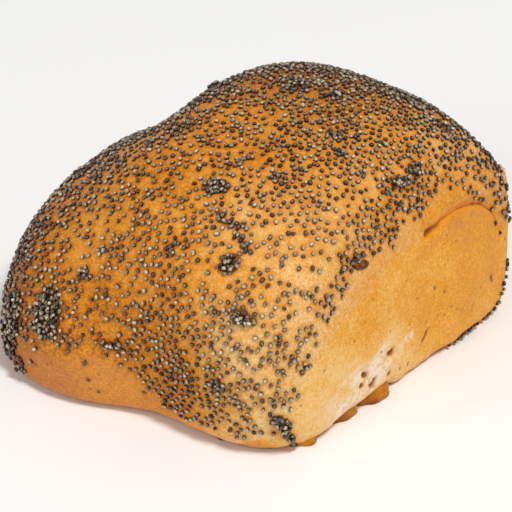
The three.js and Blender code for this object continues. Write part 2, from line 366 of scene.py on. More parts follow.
def grid_normals(points):
    """Outward normals of a closed grid, rows from the top down and columns turning anticlockwise: the step
    down crossed with the step round. The two poles look straight up and down."""
    down = np.gradient(points, axis=0)
    rolled = np.roll(points, -1, axis=1) - np.roll(points, 1, axis=1)
    normals = np.cross(down, rolled)
    normals[0] = (0, 0, 1)
    normals[-1] = (0, 0, -1)
    return normals / np.maximum(np.linalg.norm(normals, axis=-1, keepdims=True), 1e-9)


def closed_grid_faces(rows, columns, number=1):
    """Faces of a grid whose first and last rows are single points: fans at the poles, quads between. The
    faces of several such grids count on from one grid's points to the next."""
    column = np.arange(columns)
    after = (column + 1) % columns
    last = 1 + (rows - 2) * columns
    row = 1 + np.arange(rows - 3)[:, None] * columns
    quads = np.stack([row + column, row + columns + column, row + columns + after, row + after], axis=-1)
    top = np.stack([np.zeros_like(column), 1 + column, 1 + after], axis=-1)
    low = last - columns
    base = np.stack([low + column, np.full_like(column, last), low + after], axis=-1)
    shift = np.arange(number)[:, None, None] * (last + 1)
    return [(group + shift).reshape(-1, group.shape[-1])
            for group in (quads.reshape(-1, 4), np.concatenate([top, base]))]


def closed_grid_values(values):
    """The values of a closed grid's points in the order of its vertices, one for each pole."""
    inner = values[1:-1].reshape(-1, *values.shape[2:])
    return np.concatenate([values[:1, 0], inner, values[-1:, 0]])


def add_piece(name, points, faces, material, attributes):
    """Makes a smooth mesh of points in mm, rides it on the roll's body and has it stand for the roll."""
    mesh = bpy.data.meshes.new(name)
    mesh.from_pydata((points * MM).tolist(), [], [face for group in faces for face in group.tolist()])
    mesh.polygons.foreach_set("use_smooth", np.ones(len(mesh.polygons), dtype=bool))
    for key, values in attributes.items():
        layer = mesh.attributes.new(key, "FLOAT", "POINT")
        layer.data.foreach_set("value", np.ascontiguousarray(values, dtype=np.float32))
    mesh.materials.append(material)
    mesh.update()
    piece = bpy.data.objects.new(name, mesh)
    bpy.context.scene.collection.objects.link(piece)
    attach(piece, BODY)
    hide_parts(ROLL)


def add_grid(name, grid, material, values):
    """Makes a piece of one closed grid and its values."""
    add_piece(name, closed_grid_values(grid), closed_grid_faces(*grid.shape[:2]), material,
              {key: closed_grid_values(value) for key, value in values.items()})


def line_height(line, points):
    """The height of a line round the roll at each point's compass angle."""
    angle = np.degrees(np.arctan2(points[..., 1] - CORE[1], points[..., 0] - CORE[0]))
    angles, heights = np.array(line).T
    return np.interp(angle, angles, heights)


def level_near(places, reach_mm, points):
    """A level given at a few places, for all points: their mean weighted by 1 / (0.12 + d^2 / reach^2)^2 of
    the distance d."""
    total = 0
    weights = 0
    for place, level in places:
        squared = np.sum((points - np.array(place)) ** 2, axis=-1) / reach_mm ** 2
        weight = 1 / (0.12 + squared) ** 2
        total = total + weight * level
        weights = weights + weight
    return total / weights


def brow_crease(points, normals):
    """Height of the crease, and the depth of the shade painted into its colour. Its line is the arc r = 1 of a
    squarish ellipse. Over it the crust leans in over about 2 mm, as exp(-(d / 1.3)^2) of the distance d, and
    under it the wall steps out again within half a millimetre. It fades in at its left end, and out at its
    right foot."""
    x, y, z = np.moveaxis(points, -1, 0)
    side = (y - BROW["y"]) / BROW["half_width"]
    rise = (z - BROW["z"] + BROW["droop"] * np.maximum(BROW["droop_from"] - y, 0)) / BROW["height"]
    power = BROW["squareness"]
    size = (np.abs(side) ** power + np.abs(rise) ** power) ** (1 / power)
    slope = np.hypot(side / BROW["half_width"], rise / BROW["height"]) / np.maximum(size, 1e-6)
    away = (size - 1) / np.maximum(slope, 1e-3) + 0.25 * mottle(points, 2.5, 15)
    turn = np.degrees(np.arctan2(rise, side))
    window = fade(turn, 12, 30) * fade(y, 11.5, 15.5) * fade(normals[..., 0], 0.1, 0.45) * (x > 30)
    groove = bell(away, np.where(away > 0, 1.3, 0.45))
    ledge = bell(away - 3.2, 1.5)
    belly = bell(away + 2.0, 1.8)
    height = window * (-0.95 * groove + 0.35 * ledge + 0.3 * belly)
    # Painted shade: a broken dark line in the crease, a darker band and edge above it, and a hollow at its
    # left end.
    limb = 1 - fade(turn, 45, 60)
    broken = 0.2 * mottle(points, 2.6, 16)
    line = (0.8 + broken) * bell(away - 0.05, 0.4 + 0.08 * limb)
    edge = (0.52 + broken) * bell(away - 1.9, 0.4)
    band = 0.44 * fade(away, -0.2, 0.4) * (1 - fade(away, 1.6, 3.0))
    hollow = 0.35 * bell(away - 0.8, 0.8) * (1 - fade(np.abs(y - 16.4), 1.5, 4.0))
    shade = window * (np.maximum(line, (1 - limb) * np.maximum(edge, band)) + hollow)
    pocket, knob = (np.exp(-((y - at[0]) ** 2 + (z - at[1]) ** 2) / radius ** 2) * (x > 30)
                    for *at, radius in (BROW["pocket"], BROW["knob"]))
    return height - 0.8 * pocket + 0.45 * knob, np.clip(shade + 0.7 * pocket + 0.3 * knob, 0, 0.84)


def open_pores(across_from, points, pores, on_face):
    """Depth of torn pores on one face, and the painted shade in their colour, darkest in their middles and in
    the deepest pores: each is a bell exp(-(u / length)^2 - (v / width)^2), its edge made ragged by noise."""
    z = points[..., 2]
    ragged = 1 + 0.75 * mottle(points, 1.1, 37)
    depth = np.zeros(z.shape)
    shade = np.zeros(z.shape)
    for middle, height, length, width, lean, deep in pores:
        across, up = turned(across_from - middle, z - height, math.radians(lean))
        pore = np.exp(-((up / length) ** 2 + (across / width) ** 2) * ragged) * on_face
        depth += deep * pore
        shade = np.maximum(shade, pore * min(1, deep + 0.3))
    return depth, shade


def torn_patch(points):
    """Where the wall's skin pulled off with the neighbour: a band along the wall's near foot, whose edge
    noise breaks up."""
    x, y, z = np.moveaxis(points, -1, 0)
    along = (y + 8.5) / 15
    across = (z - 9.6 - 0.2 * (y + 8.5)) / 5.8
    inside = roughened(1 - np.abs(along) ** 3 - across ** 2, points, ((0.85, 3.2, 31), (0.4, 1.2, 32)))
    return fade(inside, 0.0, 1.0) * fade(x, 40, 43)


def pale_streaks(points):
    """Thin places of the skin round the torn patch: noise in flat cells along the wall, strongest near the
    patch's near end, as exp(-(u / 11)^4 - (v / 7)^4)."""
    x, y, z = np.moveaxis(points, -1, 0)
    rise = z - 11 - 0.2 * (y + 8.5)
    near = np.exp(-((y + 12) / 11) ** 4 - (rise / 7) ** 4) * fade(x, 37, 41)
    return near * fade(mottle(np.stack([x / 5, y / 8, rise / 1.6], axis=-1), 1.0, 35), -0.5, 0.5)


def stretch_marks(points):
    """Fine parallel wrinkles that lean over to the right, as noise in cells stretched along that lean."""
    along, across = turned(points[..., 2], points[..., 1], math.radians(40))
    return mottle(np.stack([points[..., 0] / 6, along / 7, across / 1.5], axis=-1), 1.0, 41)


def crust_relief(points, normals):
    """The crust's unevenness along its normal in mm, and what its material reads at each point."""
    x, y, z = np.moveaxis(points, -1, 0)
    sole = fade(-normals[..., 2], 0.9, 0.99) * fade(-z, -1.2, -0.2)
    wash_edge = roughened(line_height(WASH_LINE, points), points, ((1.2, 5, 11), (0.5, 1.8, 12)))
    wash = fade(z - wash_edge, -0.6, 0.8)
    wall = fade(normals[..., 0], 0.55, 0.9) * fade(x, 36, 42)
    crease, crease_shade = brow_crease(points, normals)
    wall_depth, wall_shade = open_pores(y, points, WALL_PORES, x > 30)
    front_depth, front_shade = open_pores(x, points, FRONT_PORES, y < -30)
    torn = torn_patch(points) * (1 - sole)
    height = roughened(0, points, ((0.24, 12, 1), (0.11, 5, 2), (0.035, 2, 3)))
    height += 0.06 * wash + crease - wall_depth - front_depth
    height += torn * (roughened(0, points, ((0.16, 1.7, 33), (0.09, 1, 34))) - 0.18)
    height += 0.07 * wall * (1 - wash) * fade(-z, -26, -8) * stretch_marks(points)
    crumpled_rim = fade(-z, -3.2, -1.2) * (1 - sole)
    height += 0.3 * crumpled_rim * mottle(points, 2.4, 4)
    undercut = fade(-z, -6.5, -1.5) * fade(y, -24, -14) * fade(-y, -4, 2) * fade(x, 30, 38)
    height -= 1.5 * undercut
    height = np.where(sole > 0.5, -0.12 - 0.1 * mottle(points, 3.2, 5), height)
    bake = roughened(level_near(BAKE, BAKE_REACH, points), points, ((0.07, 9, 21), (0.06, 3.5, 22)))
    low_band = (1 - wash) * (1 - wall) * fade(-normals[..., 0], -0.75, -0.4)
    low_bake = 0.92 - 0.22 * fade(x, -14, 0)
    bake = bake + low_band * (low_bake - bake) + sole * (0.95 - bake)
    return height, {
        "wash": wash * (1 - sole),
        "bake": bake,
        "torn": np.maximum(torn, 0.8 * pale_streaks(points) * (1 - sole)),
        "crease": crease_shade,
        "pore": np.maximum(wall_shade, front_shade),
    }


def ring_shares():
    """Each ring's share of the way from the top to the rim: s - k sin(2 pi (s - middle)) / 2 pi, which
    crowds the rings at the middle, moved to start at 0 and end at 1."""
    share = np.arange(RINGS + 1) / RINGS
    swing = np.sin(2 * math.pi * (share - CROWDED_SHARE))
    return share - RING_CROWDING * (swing - swing[0]) / (2 * math.pi)


def crust_grid():
    """The crust as rows from the top to the sole's middle. A column's compass angle is t - k sin(t - side),
    so columns crowd on one side, and rings share out the angle from straight up to the sole's rim."""
    turn = full_turn(COLUMNS) - math.pi
    compass = turn - COLUMN_CROWDING * np.sin(turn - CROWDED_SIDE)
    outward = direction(compass, np.zeros(COLUMNS))
    ground = CORE * (1, 1, 0)
    rim = reach(lambda r: outside_dough(ground + outward * r[:, None]) < -TRAY_ROUND, COLUMNS)
    lowest = np.arctan2(-CORE[2], rim)
    elevation = math.pi / 2 + (lowest - math.pi / 2) * ring_shares()[:, None]
    rays = direction(np.broadcast_to(compass, elevation.shape), elevation)

    def is_inside(distance):
        at = CORE + rays * distance[..., None]
        return smooth_max(outside_dough(at), -at[..., 2], TRAY_ROUND) < 0

    cap = CORE + rays * reach(is_inside, elevation.shape)[..., None]
    inwards = (np.arange(1, SOLE_RINGS + 1) / SOLE_RINGS)[:, None, None] ** 1.15
    sole = cap[-1] + (ground - cap[-1]) * inwards
    smooth = np.concatenate([cap, sole])
    normals = grid_normals(smooth)
    height, values = crust_relief(smooth, normals)
    points = smooth + normals * height[..., None]
    points[..., 2] = np.maximum(points[..., 2], 0)
    return {"compass": compass, "lowest": lowest, "points": points, "normals": grid_normals(points),
            "values": values}


def on_crust(grid, towards):
    """The crust's point and normal on the rays from the core towards given points, blended from the four
    nearest points of the grid, and the ray's row and column."""
    ray = towards - CORE
    compass = np.arctan2(ray[..., 1], ray[..., 0])
    elevation = np.arctan2(ray[..., 2], np.hypot(ray[..., 0], ray[..., 1]))
    start = grid["compass"][0]
    wrapped = np.append(grid["compass"], start + 2 * math.pi)
    column = np.interp((compass - start) % (2 * math.pi) + start, wrapped, np.arange(COLUMNS + 1))
    lowest = np.interp(column, np.arange(COLUMNS + 1), np.append(grid["lowest"], grid["lowest"][0]))
    share = np.clip((math.pi / 2 - elevation) / (math.pi / 2 - lowest), 0, 0.999)
    row = np.interp(share, ring_shares(), np.arange(RINGS + 1))
    low_row, low_column = np.floor(row).astype(int), np.floor(column).astype(int)
    down, right = (row - low_row)[..., None], (column - low_column)[..., None]

    def blended(layer):
        left_side, right_side = (
            layer[low_row, at % COLUMNS] * (1 - down) + layer[low_row + 1, at % COLUMNS] * down
            for at in (low_column, low_column + 1))
        return left_side * (1 - right) + right_side * right

    return blended(grid["points"]), unit(blended(grid["normals"])), row, column


def near_pairs(places, far):
    """The numbers of every two places closer than far in mm, each pair both ways round."""
    block = 800
    squares = np.sum(places ** 2, axis=1)
    firsts = []
    seconds = []
    for start in range(0, len(places), block):
        part = slice(start, start + block)
        squared = squares[part, None] + squares[None] - 2 * places[part] @ places.T
        first, second = np.nonzero(squared < far ** 2)
        firsts.append(first + start)
        seconds.append(second)
    first, second = np.concatenate(firsts), np.concatenate(seconds)
    return first[first != second], second[first != second]


def without_crowding(places, spacing):
    """The places that have no earlier one within the spacing in mm."""
    first, second = near_pairs(places, spacing)
    kept = np.ones(len(places), dtype=bool)
    kept[first[second < first]] = False
    return places[kept]


def evened(places, far, share, rounds):
    """Spreads places out: each one moves off every neighbour nearer than far, by a share of what their
    distance lacks, a few times over."""
    for _ in range(rounds):
        first, second = near_pairs(places, far)
        away = places[first] - places[second]
        gap = np.maximum(np.linalg.norm(away, axis=1, keepdims=True), 1e-6)
        push = np.zeros_like(places)
        np.add.at(push, first, away * (far - gap) / gap)
        places = places + share * push
    return places


def scatter_towards(grid, settings, random):
    """Single seeds: random places even over the crust's area, kept by the wanted density, dropped when an
    earlier one lies closer than the spacing, and evened out. A share of them gets another one beside it."""
    points = grid["points"][:RINGS + 1]
    down = np.diff(points, axis=0)
    across = np.roll(points, -1, axis=1) - points
    area = np.linalg.norm(np.cross(down, across[:-1]), axis=-1)
    covered = math.pi * settings.spacing ** 2 * 1e6
    densest = -math.log(1 - MOST_COVERED) / covered
    tries = int(area.sum() * densest)
    cell = random.choice(area.size, tries, p=area.ravel() / area.sum())
    row, column = np.unravel_index(cell, area.shape)
    u, v = random.random((2, tries, 1))
    after = (column + 1) % COLUMNS
    upper = points[row, column] * (1 - u) + points[row, after] * u
    lower = points[row + 1, column] * (1 - u) + points[row + 1, after] * u
    place = upper * (1 - v) + lower * v
    above = place[:, 2] - line_height(SEED_LINE, place) + 1.6 * mottle(place, 4, 51)
    wanted = settings.density * level_near(SEEDING, SEEDING_REACH, place)
    wanted = wanted * (1 + 0.12 * mottle(place, 7, 52))
    wanted = wanted * (0.98 * fade(above, -0.8, 1.2) + 0.02 * fade(above, -5, -3))
    wanted = -np.log(1 - np.clip(wanted * covered, 0, MOST_COVERED)) / covered
    wanted = wanted * (np.linalg.norm(place - BLISTER["middle"], axis=1) > BLISTER["clear_of_seeds"])
    place = place[random.random(tries) < wanted / densest]
    place = evened(without_crowding(place, settings.spacing * 1000), *EVENING)
    single = place[random.random(len(place)) < settings.company]
    aside = unit(np.cross(single - CORE, random.normal(0, 1, single.shape)))
    beside = single + aside * random.uniform(*BESIDE, (len(single), 1))
    return without_crowding(np.concatenate([place, beside]), NEAREST)


def clump_towards(grid, random):
    """Seeds of the clumps, on a sunflower spiral squeezed to each clump's sizes, with every third one lying
    on top of the others. Those under them are darker, as painted shade and as the wash wetted them, and those
    on top are paler, as painted light."""
    places, lifts, shifts = [], [], []
    for at, length, width, lean, number in CLUMPS:
        point, normal, _, _ = on_crust(grid, np.array([at], dtype=float))
        side = unit(np.cross((0, 0, 1), normal[0]))
        rise = np.cross(normal[0], side)
        order = np.arange(number)
        radius = np.sqrt((order + 0.5) / number)
        turn = order * GOLDEN_ANGLE
        up = radius * np.sin(turn) * length + random.normal(0, CLUMP_JITTER, number)
        across = radius * np.cos(turn) * width + random.normal(0, CLUMP_JITTER, number)
        along_side, along_rise = turned(across, up, math.radians(lean))
        places.append(point[0] + side * along_side[:, None] + rise * along_rise[:, None])
        on_top = (order % 3 == 1) & (radius < 0.85) & (number > 10)
        lifts.append(np.where(on_top, CLUMP_LIFT, 0.0))
        # Painted light on the seeds on top, painted shade on those under them.
        shifts.append(np.where(on_top, *CLUMP_SHIFTS))
    return [np.concatenate(found) for found in (places, lifts, shifts)]


def ball(columns, levels):
    """A ball of radius 1 as a closed grid from its top down."""
    turn = full_turn(columns)
    polar = np.arange(levels + 1)[:, None] / levels * math.pi
    return np.stack([np.cos(turn) * np.sin(polar), np.sin(turn) * np.sin(polar),
                     np.cos(polar) + 0 * turn], axis=-1)


def seed_form():
    """A poppy seed of half size 1: a ball whose middle line is bent to a kidney, y + 0.22 x^2 - 0.1, and
    whose hollow side is drawn in where x is small."""
    x, y, z = np.moveaxis(ball(SEED_COLUMNS, SEED_LEVELS), -1, 0)
    hollow = 0.22 * bell(x, 0.4) * fade(-y, 0.1, 0.9)
    return closed_grid_values(np.stack([x, y + 0.22 * x ** 2 - 0.1 + hollow, z], axis=-1))


def seed_piece(name, material, places, normals, lifts, shifts, settings, random):
    """Sets one seed form on each place: its short axis along the crust's normal, tipped a little, its length
    turned at random round that, and its foot sunk into the crust. A shift makes its tone darker or paler: the
    painted shade and painted light of clumped seeds."""
    number = len(places)
    up = unit(normals + random.normal(0, SEED_TIP, (number, 3)))
    along = unit(np.cross(up, random.normal(0, 1, (number, 3))))
    side = np.cross(up, along)
    size = random.uniform(*SEED_SIZES, (number, 1))
    half = np.array([settings.length, settings.width, settings.height]) / 2 * 1000 * size
    half = half * random.uniform(*SEED_PROPORTIONS, (number, 3))
    middle = places + normals * (half[:, 2:] - settings.sink * 1000 + lifts[:, None])
    form = seed_form()
    axes = np.stack([along, side, up], axis=1) * half[:, :, None]
    points = middle[:, None] + np.einsum("vk,nkc->nvc", form, axes)
    points[..., 2] = np.maximum(points[..., 2], 0.0)
    tone = np.clip(random.normal(*SEED_TONES, number) + shifts, 0, 1)
    faces = closed_grid_faces(SEED_LEVELS + 1, SEED_COLUMNS, number)
    add_piece(name, points.reshape(-1, 3), faces, material, {
        "tone": np.repeat(tone, len(form)),
        "tint": np.repeat(random.random(number), len(form)),
        # The share up each seed, which the coat's painted shade reads.
        "crown": np.tile(0.5 + 0.5 * form[:, 2], number),
    })


def seed_foot_shade_and_wash(grid, rows, columns):
    """Painted shade round the seeds' feet, with egg wash pooled there, deepest where seeds crowd: 1 - exp(-s)
    of the sum s of exp(-(d / 0.8 mm)^2) over the distances d to the seeds nearby, worked out on the grid's
    points near each seed."""
    halo = np.zeros(grid["points"].shape[:2])
    near_row = np.round(rows).astype(int)
    near_column = np.round(columns).astype(int) % COLUMNS
    on_grid = grid["points"][near_row, near_column]
    for step_down, step_round in np.ndindex(7, 7):
        row = np.clip(near_row + step_down - 3, 0, RINGS)
        column = (near_column + step_round - 3) % COLUMNS
        gap = np.linalg.norm(grid["points"][row, column] - on_grid, axis=-1)
        np.add.at(halo, (row, column), bell(gap, 0.8))
    return 1 - np.exp(-halo)


def drip_grid(lobes, height, series):
    """A set drop as rows from its crown to its flat foot: its outline is a soft largest of the lobes'
    circles as the middle sees them, and its height falls as (1 - s^4)^0.5 with the share s outwards."""
    lobes = np.array(lobes)
    middle = np.average(lobes[:, :2], axis=0, weights=lobes[:, 2])
    turn = full_turn(DRIP_COLUMNS)
    ahead, aside = turned(*(lobes[:, :2] - middle).T, turn[:, None])
    hit = ahead + np.sqrt(np.maximum(lobes[:, 2] ** 2 - aside ** 2, 0.0))
    outline = np.sum(np.maximum(hit, 0.05) ** 8, axis=1) ** (1 / 8)
    share = np.append(np.linspace(0, 1, DRIP_RINGS) ** 0.7, 0.0)[:, None]
    x = middle[0] + share * outline * np.cos(turn)
    y = middle[1] + share * outline * np.sin(turn)
    z = height * (1 - share ** 4) ** 0.5 + 0 * x
    z[-1] = 0
    points = np.stack([x, y, z], axis=-1)
    points[:-2, :, 2] += 0.12 * mottle(points, 1.6, series)[:-2] * (1 - share[:-2] ** 2)
    points[0] = points[0].mean(axis=0)
    points[..., 2] = np.maximum(points[..., 2], 0)
    return points


def scorch_and_shade_share(points, scorch):
    """How dark a set drop is drawn at each point, from scorching and from painted shade: most at its near end,
    half of that at its far end.
    """
    y = points[:, 1]
    share = (y - y.min()) / (y.max() - y.min())
    return scorch * (1 - 0.5 * fade(share, 0.3, 0.75))


def add_lump(name, lump, material):
    """Makes a small rough lump: a ball with half sizes along the axes, moved out and in by noise, and then
    leaned by a share of one axis along another."""
    middle = np.array(lump["middle"])
    form = ball(LUMP_COLUMNS, LUMP_LEVELS) * lump["half"]
    rough, size, series = lump["noise"]
    layers = ((rough, size, series), (rough * 0.6, size / 2.3, series + 1))
    grid = middle + form * roughened(1, middle + form, layers)[..., None]
    moved, along, share = lump["lean"]
    grid[..., moved] += share * (grid[..., along] - middle[along])
    add_grid(name, grid, material, {})


def feed(material, node, inputs):
    """Gives a node's sockets their values, or links them from a socket or a node's first live output."""
    for name, value in inputs.items():
        if isinstance(value, bpy.types.Node):
            value = next(output for output in value.outputs if output.enabled)
        if isinstance(value, bpy.types.NodeSocket):
            material.node_tree.links.new(value, node.inputs[name])
        else:
            node.inputs[name].default_value = value


def add_node(material, kind, settings, inputs, stops=()):
    """Adds a node with its settings, what goes into its sockets, and the stops of a colour ramp, each a
    position and an sRGB hex."""
    node = material.node_tree.nodes.new("ShaderNode" + kind)
    for key, value in settings.items():
        setattr(node, key, value)
    feed(material, node, inputs)
    for index, (position, code) in enumerate(stops):
        elements = node.color_ramp.elements
        element = elements[index] if index < len(elements) else elements.new(position)
        element.position = position
        element.color = (*linear(code), 1)
    return node


def new_material(name, shader_values):
    """A material with one Principled BSDF, whose uniform values stand on its own sockets. Returns the call
    that adds a node to it too."""
    material = bpy.data.materials.new(name)
    material.use_nodes = True
    shader = material.node_tree.nodes["Principled BSDF"]
    feed(material, shader, shader_values)
    return material, shader, partial(add_node, material)


def per_metre(size):
    """The scale of a pattern on Object coordinates, in cells a metre, for a size in mm."""
    return 1000 / size


def crust_material(settings):
    """Egg-washed wheat crust, baked: the wash browns to a glossy amber skin with an orange-peel grain of
    about half a millimetre, the bare wall stays matt and pale, and torn places show cream crumb."""
    material, shader, add = new_material("egg_washed_wheat_crust", {
        "IOR": 1.45, "Specular IOR Level": 0.18, "Sheen Weight": 0.09, "Sheen Roughness": 0.5})
    place = add("TexCoord", {}, {}).outputs["Object"]
    wash, bake, torn, crease, pore, halo = (
        add("Attribute", {"attribute_name": key}, {}).outputs["Fac"]
        for key in ("wash", "bake", "torn", "crease", "pore", "halo"))
    broad, spots, grain = (
        add("TexNoise", {}, {"Vector": place, "Scale": per_metre(size), "Detail": detail, "Roughness": fine})
        for size, detail, fine in ((7, 2, 0.5), (1.3, 3, 0.65), (settings.grain * 1000, 2, 0.55)))
    level = add("Math", SCALE_AND_ADD, {0: broad, 1: 0.24, 2: -0.12})
    level = add("Math", ADD, {0: level, 1: bake})
    fleck = add("Math", SCALE_AND_ADD, {0: spots, 1: 0.8, 2: -0.4})
    speck = add("Math", SCALE_AND_ADD, {0: grain, 1: 1.1, 2: -0.55})
    lively = add("MapRange", {}, {"Value": wash, "To Min": 0.6, "To Max": 1.0})
    level = add("Math", SCALE_AND_ADD, {0: fleck, 1: lively, 2: level})
    level = add("Math", ADD, {0: level, 1: speck})
    washed = add("ValToRGB", {}, {"Fac": level}, (
        (0.0, "#EFCA8C"), (0.25, "#E7AE60"), (0.5, "#E4982C"), (0.75, "#CF7F18"), (1.0, "#9E6018")))
    bare = add("ValToRGB", {}, {"Fac": level}, (
        (0.0, "#F3C888"), (0.2, "#EEB65A"), (0.45, "#E99A1C"), (0.75, "#D2873F"), (1.0, "#BE7438")))
    colour = add("Mix", BLEND_COLOURS, {FACTOR: wash, UNDER: bare, OVER: washed})
    crumb = add("ValToRGB", {}, {"Fac": spots}, ((0.28, "#BE8448"), (0.38, "#E8C492"), (0.5, "#F6E2C6")))
    colour = add("Mix", BLEND_COLOURS, {FACTOR: torn, UNDER: colour, OVER: crumb})
    # Painted shade round the seeds' feet, with pooled wash: the crust darkens towards brown where seeds crowd.
    foot_shade_and_wash = add("ValToRGB", {}, {"Fac": halo}, (
        (0.0, "#FFFFFF"), (0.6, "#F2DABC"), (0.8, "#CBA27C"), (0.97, "#7C583E")))
    colour = add("Mix", FILTER_COLOUR, {FACTOR: 1.0, UNDER: colour, OVER: foot_shade_and_wash})
    # Painted shade of the brow crease, from its attribute.
    fold = add("ValToRGB", {}, {"Fac": crease}, ((0.35, "#EA9418"), (0.55, "#D87E10"), (0.85, "#96520E")))
    shade = add("MapRange", {}, {"Value": crease, "From Min": 0.04, "From Max": 0.45})
    colour = add("Mix", BLEND_COLOURS, {FACTOR: shade, UNDER: colour, OVER: fold})
    # Painted shade in the open pores, darkest in their middles.
    hole = add("ValToRGB", {}, {"Fac": pore}, ((0.3, "#CE9450"), (0.6, "#A4682E"), (1.0, "#5A300E")))
    shade = add("MapRange", {}, {"Value": pore, "From Min": 0.1, "From Max": 0.6})
    colour = add("Mix", BLEND_COLOURS, {FACTOR: shade, UNDER: colour, OVER: hole})
    cells = add("TexVoronoi", {"feature": "F1"}, {"Vector": place, "Scale": per_metre(3.4)})
    pit = add("MapRange", {"interpolation_type": "SMOOTHSTEP"}, {
        "Value": cells, "From Min": 0.07, "From Max": 0.15, "To Min": 1.0, "To Max": 0.0})
    chosen = add("Math", {"operation": "GREATER_THAN"}, {0: cells.outputs["Color"], 1: 0.55})
    pit = add("Math", {"operation": "MULTIPLY"}, {0: pit, 1: chosen})
    unwashed = add("Math", {"operation": "SUBTRACT"}, {0: 0.8, 1: wash})
    pit = add("Math", {"operation": "MULTIPLY", "use_clamp": True}, {0: pit, 1: unwashed})
    colour = add("Mix", BLEND_COLOURS, {FACTOR: pit, UNDER: colour, OVER: (*linear("#B06A24"), 1)})
    gloss = add("MapRange", {}, {"Value": wash, "To Min": 0.68, "To Max": 0.46})
    gloss = add("Math", SCALE_AND_ADD, {0: spots, 1: 0.16, 2: gloss})
    skin = add("Bump", {}, {"Height": spots, "Strength": 0.6, "Distance": 0.35 * MM})
    skin = add("Bump", {}, {"Height": grain, "Normal": skin, "Strength": 0.7, "Distance": 0.22 * MM})
    skin = add("Bump", {"invert": True}, {
        "Height": pit, "Normal": skin, "Strength": 0.6, "Distance": 0.3 * MM})
    feed(material, shader, {"Base Color": colour, "Roughness": gloss, "Normal": skin})
    return material


def seed_material(name, stops, tints):
    """Dry poppy seed coat: a hard, dull, netted skin. Each seed has its own grey or brown, and a few lean to
    another tint.
    Its sides are darkened towards its foot as painted shade, so that its top stays lighter. The net's cells
    are 0.1 mm, drawn at 0.25 mm so that they still show."""
    material, shader, add = new_material(name, {
        "IOR": 1.5, "Specular IOR Level": 0.5, "Coat Weight": 0.3, "Coat Roughness": 0.3})
    place = add("TexCoord", {}, {}).outputs["Object"]
    tone, tint, crown = (add("Attribute", {"attribute_name": key}, {}).outputs["Fac"]
                         for key in ("tone", "tint", "crown"))
    net = add("TexVoronoi", {"feature": "F1"}, {"Scale": per_metre(0.25), "Vector": place})
    patch = add("TexNoise", {}, {"Scale": per_metre(0.45), "Detail": 2, "Vector": place})
    level = add("Math", SCALE_AND_ADD, {0: patch, 1: 2.0, 2: tone})
    level = add("Math", {"operation": "SUBTRACT"}, {0: level, 1: 1.0})
    coat = add("ValToRGB", {}, {"Fac": level}, stops)
    lean = add("ValToRGB", {}, {"Fac": tint}, tints)
    colour = add("Mix", FILTER_COLOUR, {FACTOR: 1.0, UNDER: coat, OVER: lean})
    # Painted shade: each seed darkens from its top down towards its foot.
    foot_shade = add("ValToRGB", {}, {"Fac": crown}, ((0.48, "#4C3826"), (0.7, "#AE9E88"), (0.92, "#FFFFFF")))
    colour = add("Mix", FILTER_COLOUR, {FACTOR: 1.0, UNDER: colour, OVER: foot_shade})
    gloss = add("MapRange", {}, {"Value": patch, "To Min": 0.34, "To Max": 0.56})
    bump = add("Bump", {}, {"Height": net, "Strength": 0.5, "Distance": 0.06 * MM})
    feed(material, shader, {"Base Color": colour, "Roughness": gloss, "Normal": bump})
    return material


def glassy_wash_material(name, stops, size, roughness):
    """Egg wash that ran and set on hot metal: a smooth, glossy skin, amber where thin, and brown where it
    scorched and where painted shade falls on it, with broad soft lumps."""
    material, shader, add = new_material(name, {"IOR": 1.48, "Specular IOR Level": 0.16})
    place = add("TexCoord", {}, {}).outputs["Object"]
    cloud = add("TexNoise", {}, {"Scale": per_metre(size), "Detail": 3, "Roughness": 0.6, "Vector": place})
    colour = add("ValToRGB", {}, {"Fac": cloud}, stops)
    # Scorch and painted shade: the drop darkens to brown towards its near end.
    scorch = add("Attribute", {"attribute_name": "scorch"}, {}).outputs["Fac"]
    colour = add("Mix", BLEND_COLOURS, {FACTOR: scorch, UNDER: colour, OVER: (*linear("#8A4602"), 1)})
    gloss = add("MapRange", {}, {"Value": cloud, "To Min": roughness, "To Max": roughness + 0.2})
    bump = add("Bump", {}, {"Height": cloud, "Strength": 0.4, "Distance": 0.2 * MM})
    feed(material, shader, {"Base Color": colour, "Roughness": gloss, "Normal": bump})
    return material


def crumb_material():
    """Torn crust edge: dry pale crumb with ragged pores of half a millimetre."""
    material, shader, add = new_material("torn_pale_crumb", {"IOR": 1.4, "Specular IOR Level": 0.25})
    place = add("TexCoord", {}, {}).outputs["Object"]
    pores = add("TexNoise", {}, {"Scale": per_metre(1.2), "Detail": 4, "Roughness": 0.7, "Vector": place})
    colour = add("ValToRGB", {}, {"Fac": pores}, ((0.3, "#B97B3E"), (0.45, "#E2AF74"), (0.65, "#F0CFA2")))
    dryness = add("MapRange", {}, {"Value": pores, "To Min": 0.7, "To Max": 0.95})
    bump = add("Bump", {}, {"Height": pores, "Strength": 0.8, "Distance": 0.4 * MM})
    feed(material, shader, {"Base Color": colour, "Roughness": dryness, "Normal": bump})
    return material


LENGTH = {"precision": 5, "unit": "LENGTH"}
SHARE = {"min": 0.0, "max": 1.0, "subtype": "FACTOR"}


class CrustSettings(bpy.types.PropertyGroup):
    grain: FloatProperty(name="Grain", description="Size of the crust's orange-peel grain", default=0.5 * MM,
                         min=0.1 * MM, max=2 * MM, **LENGTH)


